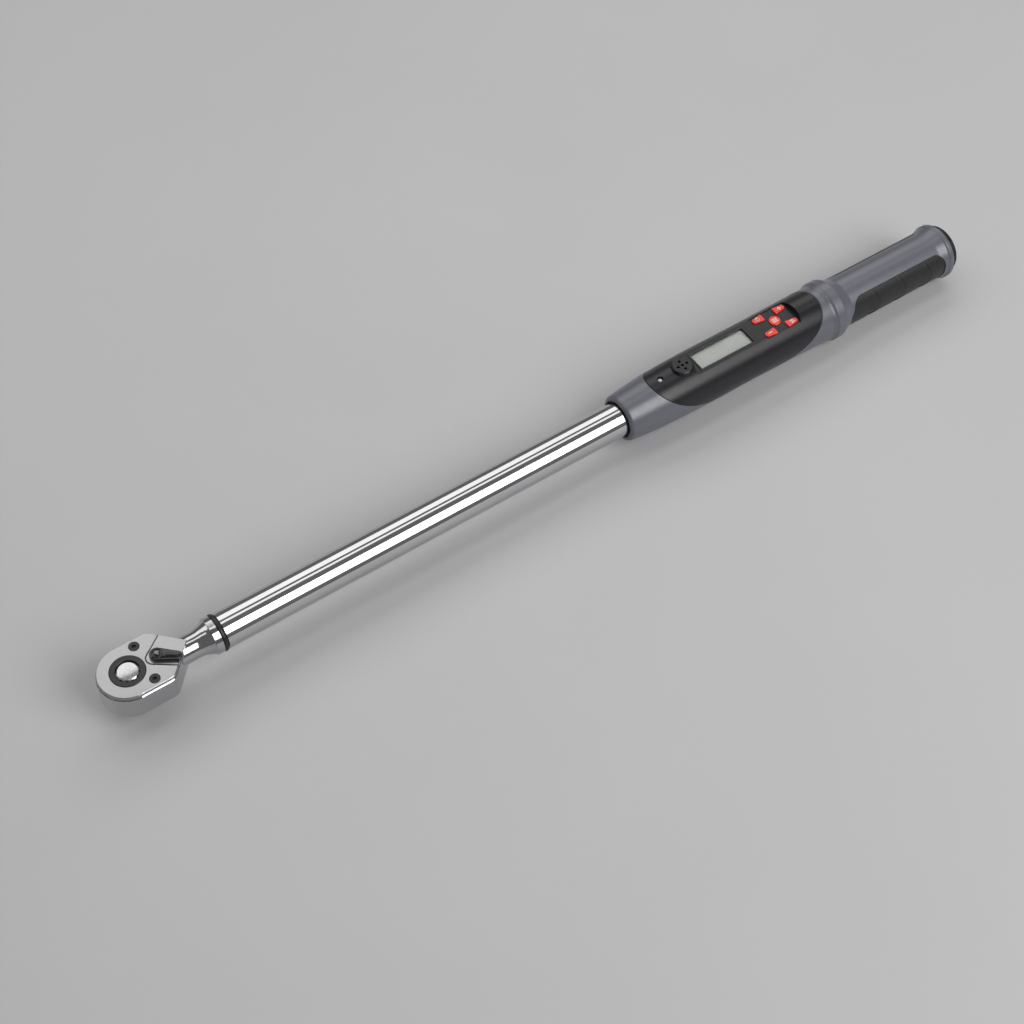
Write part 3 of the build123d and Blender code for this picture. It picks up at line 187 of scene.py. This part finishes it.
BLACK = finish_material("black_plastic", (0.0078, 0.0076, 0.0100), (0.0100, 0.0098, 0.0128), 0.0,
                        (0.29, 0.35), tint_scale=30, rough_scale=300,
                        grain=5000, grain_strength=0.08, grain_size=0.00003, IOR=1.47)
WHITE = finish_material("white_plastic", (0.70, 0.70, 0.66), (0.78, 0.78, 0.75), 0.0, (0.4, 0.5))
CABLE = finish_material("cable_jacket", (0.30, 0.02, 0.02), (0.36, 0.03, 0.03), 0.0, (0.4, 0.5))
BOARD = finish_material("circuit_board", (0.015, 0.10, 0.045), (0.02, 0.14, 0.06), 0.0, (0.25, 0.4))
CHIP = finish_material("chip_package", (0.012, 0.012, 0.013), (0.02, 0.02, 0.022), 0.0, (0.4, 0.55))
GAUGE = finish_material("gauge_film", (0.55, 0.30, 0.08), (0.62, 0.36, 0.10), 0.0, (0.3, 0.4))
BRASS = finish_material("brass_contact", (0.66, 0.47, 0.20), (0.74, 0.54, 0.25), 1.0, (0.2, 0.32))
CELL = finish_material("cell_jacket", (0.03, 0.05, 0.12), (0.04, 0.07, 0.16), 0.0, (0.3, 0.4))
RED = finish_material("red_silicone", (0.76, 0.046, 0.028), (0.84, 0.060, 0.036), 0.0, (0.24, 0.30),
                      grain=5000, grain_strength=0.06, grain_size=0.00003,
                      Subsurface_Weight=0.15, Subsurface_Scale=0.0015)
DISPLAY = finish_material("display_panel", (0.56, 0.57, 0.53), (0.60, 0.61, 0.57), 0.0, (0.22, 0.30),
                          grain=1500, grain_strength=0.03)
LAMP = finish_material("lamp_lens", (0.75, 0.70, 0.70), (0.85, 0.80, 0.80), 0.0, (0.08, 0.15),
                       grain_strength=0.0, Transmission_Weight=0.3)
GLASS = finish_material("window_glass", (0.92, 0.94, 0.93), (0.95, 0.96, 0.95), 0.0, (0.02, 0.05),
                        grain_strength=0.0, Transmission_Weight=1.0, IOR=1.45)
INK = finish_material("white_ink", (0.74, 0.74, 0.72), (0.82, 0.82, 0.80), 0.0, (0.40, 0.52),
                      tint_scale=900, grain=4000, grain_strength=0.3, grain_size=0.00003)
PAPER = finish_material("studio_paper", (0.52, 0.52, 0.525), (0.54, 0.54, 0.545), 0.0, (0.6, 0.7),
                        tint_scale=3, rough_scale=20, grain=400, grain_strength=0.05)

NODE_MATERIALS = {
    "head_body": FORGED, "tube": CHROME, "release_button": BUTTON,
    "head_cover_plate": SATIN, "drive_spindle": SATIN,
    "cover_screws": BLACK_STEEL, "hub_ring": RING_STEEL,
    "reverse_lever": LEVER_BLACK, "lever_rivet": RIVET,
    "pawl": HARD, "thrust_washer": HARD, "pawl_plunger": HARD, "sensor_beam": HARD, "beam_pin": HARD,
    "tube_screws": HARD, "housing_screws": HARD, "board_screws": HARD, "detent_ball": HARD,
    "release_spring": SPRING, "plunger_spring": SPRING, "contact_spring": SPRING,
    "neck_seal_ring": RUBBER, "cap_seal_ring": RUBBER,
    "grip_pad_left": RUBBER, "grip_pad_right": RUBBER, "key_mat": RUBBER,
    "gauge_cable": CABLE, "battery_leads": CABLE,
    "housing_body": GREY, "grip_body": GREY,
    "control_cover": BLACK, "display_frame": BLACK, "end_cap": BLACK, "display_holder": BLACK,
    "battery_sleeve": BLACK, "sounder": BLACK, "cable_connector": WHITE, "gauge_terminal": BOARD,
    "strain_gauges": GAUGE, "main_board": BOARD, "board_chips": CHIP,
    "display_module": DISPLAY, "display_window": GLASS, "status_led": LAMP,
    "dome_switches": BRASS, "front_contact": BRASS, "cap_contact": BRASS, "battery_cells": CELL,
    "key_centre": RED, "key_plus": RED, "key_minus": RED, "key_power": RED, "key_units": RED,
}
for node_name, node in NODES.items():
    material = NODE_MATERIALS[node_name]
    if node.material_slots:
        for material_slot in node.material_slots:
            material_slot.material = material
    else:
        node.data.materials.append(material)


# ------------------------------------------------------------------ pieces
def add_piece(name, form, material, body):
    """Turn a finished form into a piece that rides on a CAD body."""
    mesh = bpy.data.meshes.new(name)
    form.normal_update()
    form.to_mesh(mesh)
    form.free()
    mesh.materials.append(material)
    piece = bpy.data.objects.new(name, mesh)
    bpy.context.scene.collection.objects.link(piece)
    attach(piece, body)
    return piece


# ------------------------------------------------------------------ reversing lever
# millimetres, from the pivot on the lever's underside, the first axis along the lever
LEVER_TURN = math.radians(-38)     # from the tube's axis
HUB_R = 4.6
HUB_START, HUB_SWEEP = 96, 168     # degrees
LEVER_NECK = (13.5, 3.0)           # where the side turns in to the tip
LEVER_TIP = (14.7, 1.8)
LEVER_SPINE = (0.0, 11.5)          # ends of the middle line
RIB_SPINE = (6.0, 12.0)
RIB_R = 0.95
RIVET_BASE = 2.7                   # height of the rivet's underside
HUB_STEPS, SIDE_STEPS, CORNER_STEPS, TIP_STEPS = 28, 9, 3, 6
RIB_END_STEPS = 12
ROUND_STEPS = 40
# share of the way from the rim to the middle line, height
LEVER_LEVELS = ((0, 0), (0, 1.3), (0.02, 1.6), (0.06, 1.84), (0.12, 2.0), (0.22, 2.11), (0.40, 2.22),
                (0.62, 2.30), (0.82, 2.34), (0.96, 2.35))
RIB_LEVELS = ((0, 1.9), (0, 2.42), (0.14, 2.60), (0.35, 2.69), (0.65, 2.74), (0.94, 2.75))
# radius, height
RING_LEVELS = ((3.45, 1.9), (3.42, 2.45), (3.28, 2.62), (3.05, 2.70), (2.82, 2.68), (2.62, 2.55), (2.5, 1.9))
POST_LEVELS = ((2.0, 1.9), (2.0, 2.55), (1.9, 2.68), (1.5, 2.70))


def arc(radius, start, end, steps=14):
    """Points along an arc about the origin, between two angles in degrees."""
    turns = [math.radians(start + (end - start) * k / steps) for k in range(steps + 1)]
    return [(radius * math.cos(turn), radius * math.sin(turn)) for turn in turns]


def bridge(form, loops, capped=True):
    """Smooth skin between loops of vertices, from the lowest up, with flat ends if capped."""
    for lower, upper in zip(loops, loops[1:]):
        for k in range(len(lower)):
            n = (k + 1) % len(lower)
            form.faces.new((lower[k], lower[n], upper[n], upper[k])).smooth = True
    if capped:
        form.faces.new(loops[-1]).smooth = True
        form.faces.new(loops[0][::-1])


def crowned(form, outline, spine, levels):
    """Closed body over an outline, rising towards a straight middle line."""
    loops = []
    for share, height in levels:
        loop = []
        for u, v in outline:
            middle = min(max(u, spine[0]), spine[1])
            loop.append(form.verts.new((middle + (u - middle) * (1 - share), v * (1 - share), height)))
        loops.append(loop)
    bridge(form, loops)


def turned(form, levels, capped=True):
    """Closed round body, or ring, about the pivot."""
    loops = []
    for radius, height in levels:
        loops.append([form.verts.new((u, v, height)) for u, v in arc(radius, 0, 360, ROUND_STEPS)[:-1]])
    bridge(form, loops if capped else loops + loops[:1], capped)


def between(start, end, steps):
    """Points from a start towards an end, without the end."""
    return [(start[0] + (end[0] - start[0]) * k / steps, start[1] + (end[1] - start[1]) * k / steps)
            for k in range(steps)]


def make_lever():
    """Crowned lever with a rib along it, and a ring and a post around its rivet."""
    outline = arc(HUB_R, HUB_START, HUB_START + HUB_SWEEP, HUB_STEPS)
    lower_neck = (LEVER_NECK[0], -LEVER_NECK[1])
    lower_tip = (LEVER_TIP[0], -LEVER_TIP[1])
    outline += between(outline[-1], lower_neck, SIDE_STEPS)[1:]
    outline += between(lower_neck, lower_tip, CORNER_STEPS)
    outline += between(lower_tip, LEVER_TIP, TIP_STEPS)
    outline += between(LEVER_TIP, LEVER_NECK, CORNER_STEPS)
    outline += between(LEVER_NECK, outline[0], SIDE_STEPS)
    rib = [(RIB_SPINE[1] + u, v) for u, v in arc(RIB_R, -90, 90, RIB_END_STEPS)]
    rib += [(RIB_SPINE[0] + u, v) for u, v in arc(RIB_R, 90, 270, RIB_END_STEPS)]
    form = bmesh.new()
    crowned(form, outline, LEVER_SPINE, LEVER_LEVELS)
    crowned(form, rib, RIB_SPINE, RIB_LEVELS)
    turned(form, RING_LEVELS, capped=False)
    turned(form, POST_LEVELS)
    low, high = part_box("lever_rivet")
    pivot = Vector(((low.x + high.x) / 2, (low.y + high.y) / 2, low.z - RIVET_BASE * MM))
    place = Matrix.Translation(pivot) @ Matrix.Rotation(LEVER_TURN, 4, "Z") @ Matrix.Scale(MM, 4)
    bmesh.ops.transform(form, matrix=place, verts=form.verts)
    lever = add_piece("gloss_lever", form, LEVER_BLACK, "lever")
    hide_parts("reverse_lever")


make_lever()


# ------------------------------------------------------------------ printed key symbols
# metres
INK_HEIGHT = 0.00006
INK_SINK = 0.00001                 # depth of the ink's underside in the key
STROKE = 0.00056                   # width of an ink line
OVERRUN = 0.4                      # of half that width, past each end of a line


def stroke(form, points):
    """A thin raised line of ink through plan points given in millimetres."""
    half = STROKE / 2
    for start, end in zip(points, points[1:]):
        a, b = Vector(start) * MM, Vector(end) * MM
        along = (b - a).normalized() * half
        side = Vector((-along.y, along.x))
        overrun = along * OVERRUN
        corners = [a - overrun - side, b + overrun - side, b + overrun + side, a - overrun + side]
        lower = [form.verts.new((c.x, c.y, 0)) for c in corners]
        upper = [form.verts.new((c.x, c.y, INK_HEIGHT)) for c in corners]
        form.faces.new(lower[::-1])
        form.faces.new(upper)
        for k in range(4):
            n = (k + 1) % 4
            form.faces.new((lower[k], lower[n], upper[n], upper[k]))


def symbol(name, key, lines, shift=0.0):
    """Lines of ink on the top of a key, moved along it by a shift in metres."""
    low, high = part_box(key)
    form = bmesh.new()
    for points in lines:
        stroke(form, points)
    bmesh.ops.translate(form, verts=form.verts,
                        vec=((low.x + high.x) / 2 + shift, (low.y + high.y) / 2, high.z - INK_SINK))
    add_piece(name, form, INK, key + "_body")


symbol("plus_mark", "key_plus", [[(-1.4, 0), (1.4, 0)], [(0, -1.4), (0, 1.4)]], 0.0002)
symbol("minus_mark", "key_minus", [[(-1.5, 0), (1.5, 0)]], -0.0002)
symbol("power_mark", "key_power", [arc(1.4, 125, 415), [(0, 0.4), (0, 1.9)]], -0.0002)
symbol("swap_mark", "key_units", [
    [(-1.6, 0.7), (1.4, 0.7), (0.6, 1.5)],
    [(1.6, -0.7), (-1.4, -0.7), (-0.6, -1.5)],
], 0.0002)
symbol("menu_mark", "key_centre", [
    [(-2.0, 1.3), (2.0, 1.3)],
    [(-2.0, 0), (2.0, 0)],
    [(-2.0, -1.3), (2.0, -1.3)],
])


# ------------------------------------------------------------------ studio
FLOOR_SLOPE = 0.01122              # the wrench stands on its drive square and its grip flange
# metres
FLOOR_TOUCH = (0.00635, 0, -0.0155)
FLOOR_HALF = 14.0                  # half of its side
AXIS_Z = 0.012                     # height of the tube's axis
SKY_STRENGTH = 0.18
# name, lowest and highest angle in degrees from straight up towards the viewer,
# distance from the tube's axis, start and end along the tube, radiance
SOFTBOXES = (
    ("far_box", -58, -27, 1.5, -1.4, 2.0, 1.35),
    ("top_box", -15, -2, 1.5, -1.2, 2.0, 1.25),
    ("near_box", 26, 65, 1.9, 0.20, 1.62, 4.4),
)
# where the photo was taken from, found from the outlines of the tube and the head
CAMERA_PLACE = (-0.13909, -0.55617, 0.90708)
CAMERA_TURNS = (36.4866, -1.3667, -34.6563)   # degrees about X, Y and Z
CAMERA_LENS = 62.30                # millimetres
CAMERA_SENSOR = 36.0               # millimetres


def make_floor():
    """Pale plane under the wrench, tilted to touch it in two places."""
    mesh = bpy.data.meshes.new("floor")
    form = bmesh.new()
    bmesh.ops.create_grid(form, x_segments=2, y_segments=2, size=FLOOR_HALF)
    form.to_mesh(mesh)
    form.free()
    floor = bpy.data.objects.new("floor", mesh)
    bpy.context.scene.collection.objects.link(floor)
    floor.location = FLOOR_TOUCH
    floor.rotation_euler = (0, -math.atan(FLOOR_SLOPE), 0)
    mesh.materials.append(PAPER)


def softbox(name, low, high, distance, start, end, radiance):
    """Light along the wrench, which fills a span of angles from straight up towards the viewer."""
    half = math.radians(high - low) / 2
    tilt = math.radians(low + high) / 2
    aim = Vector(((start + end) / 2, 0, AXIS_Z))
    place = aim + distance * Vector((0, -math.sin(tilt), math.cos(tilt)))
    light = bpy.data.lights.new(name, "AREA")
    light.shape = "RECTANGLE"
    light.size, light.size_y = end - start, 2 * distance * math.tan(half)
    light.energy = radiance * math.pi * light.size * light.size_y
    lamp = bpy.data.objects.new(name, light)
    bpy.context.scene.collection.objects.link(lamp)
    along = Vector((1, 0, 0))
    away = (place - aim).normalized()
    rows = Matrix((along, away.cross(along), away)).transposed()
    lamp.matrix_world = Matrix.Translation(place) @ rows.to_4x4()


def make_studio():
    """Dim even sky and the softboxes."""
    world = bpy.data.worlds.new("studio")
    bpy.context.scene.world = world
    world.use_nodes = True
    background = world.node_tree.nodes["Background"]
    background.inputs["Color"].default_value = (1.0, 1.0, 1.0, 1)
    background.inputs["Strength"].default_value = SKY_STRENGTH
    for values in SOFTBOXES:
        softbox(*values)


def make_camera():
    """Camera at the photo's viewing angle."""
    camera = bpy.data.cameras.new("camera")
    camera.sensor_width = CAMERA_SENSOR
    camera.lens = CAMERA_LENS
    camera.clip_start = 0.01
    viewer = bpy.data.objects.new("camera", camera)
    bpy.context.scene.collection.objects.link(viewer)
    turns = Euler([math.radians(turn) for turn in CAMERA_TURNS])
    viewer.matrix_world = Matrix.LocRotScale(Vector(CAMERA_PLACE), turns, None)
    bpy.context.scene.camera = viewer


make_floor()
make_studio()
make_camera()
bpy.context.scene.view_settings.view_transform = "Standard"
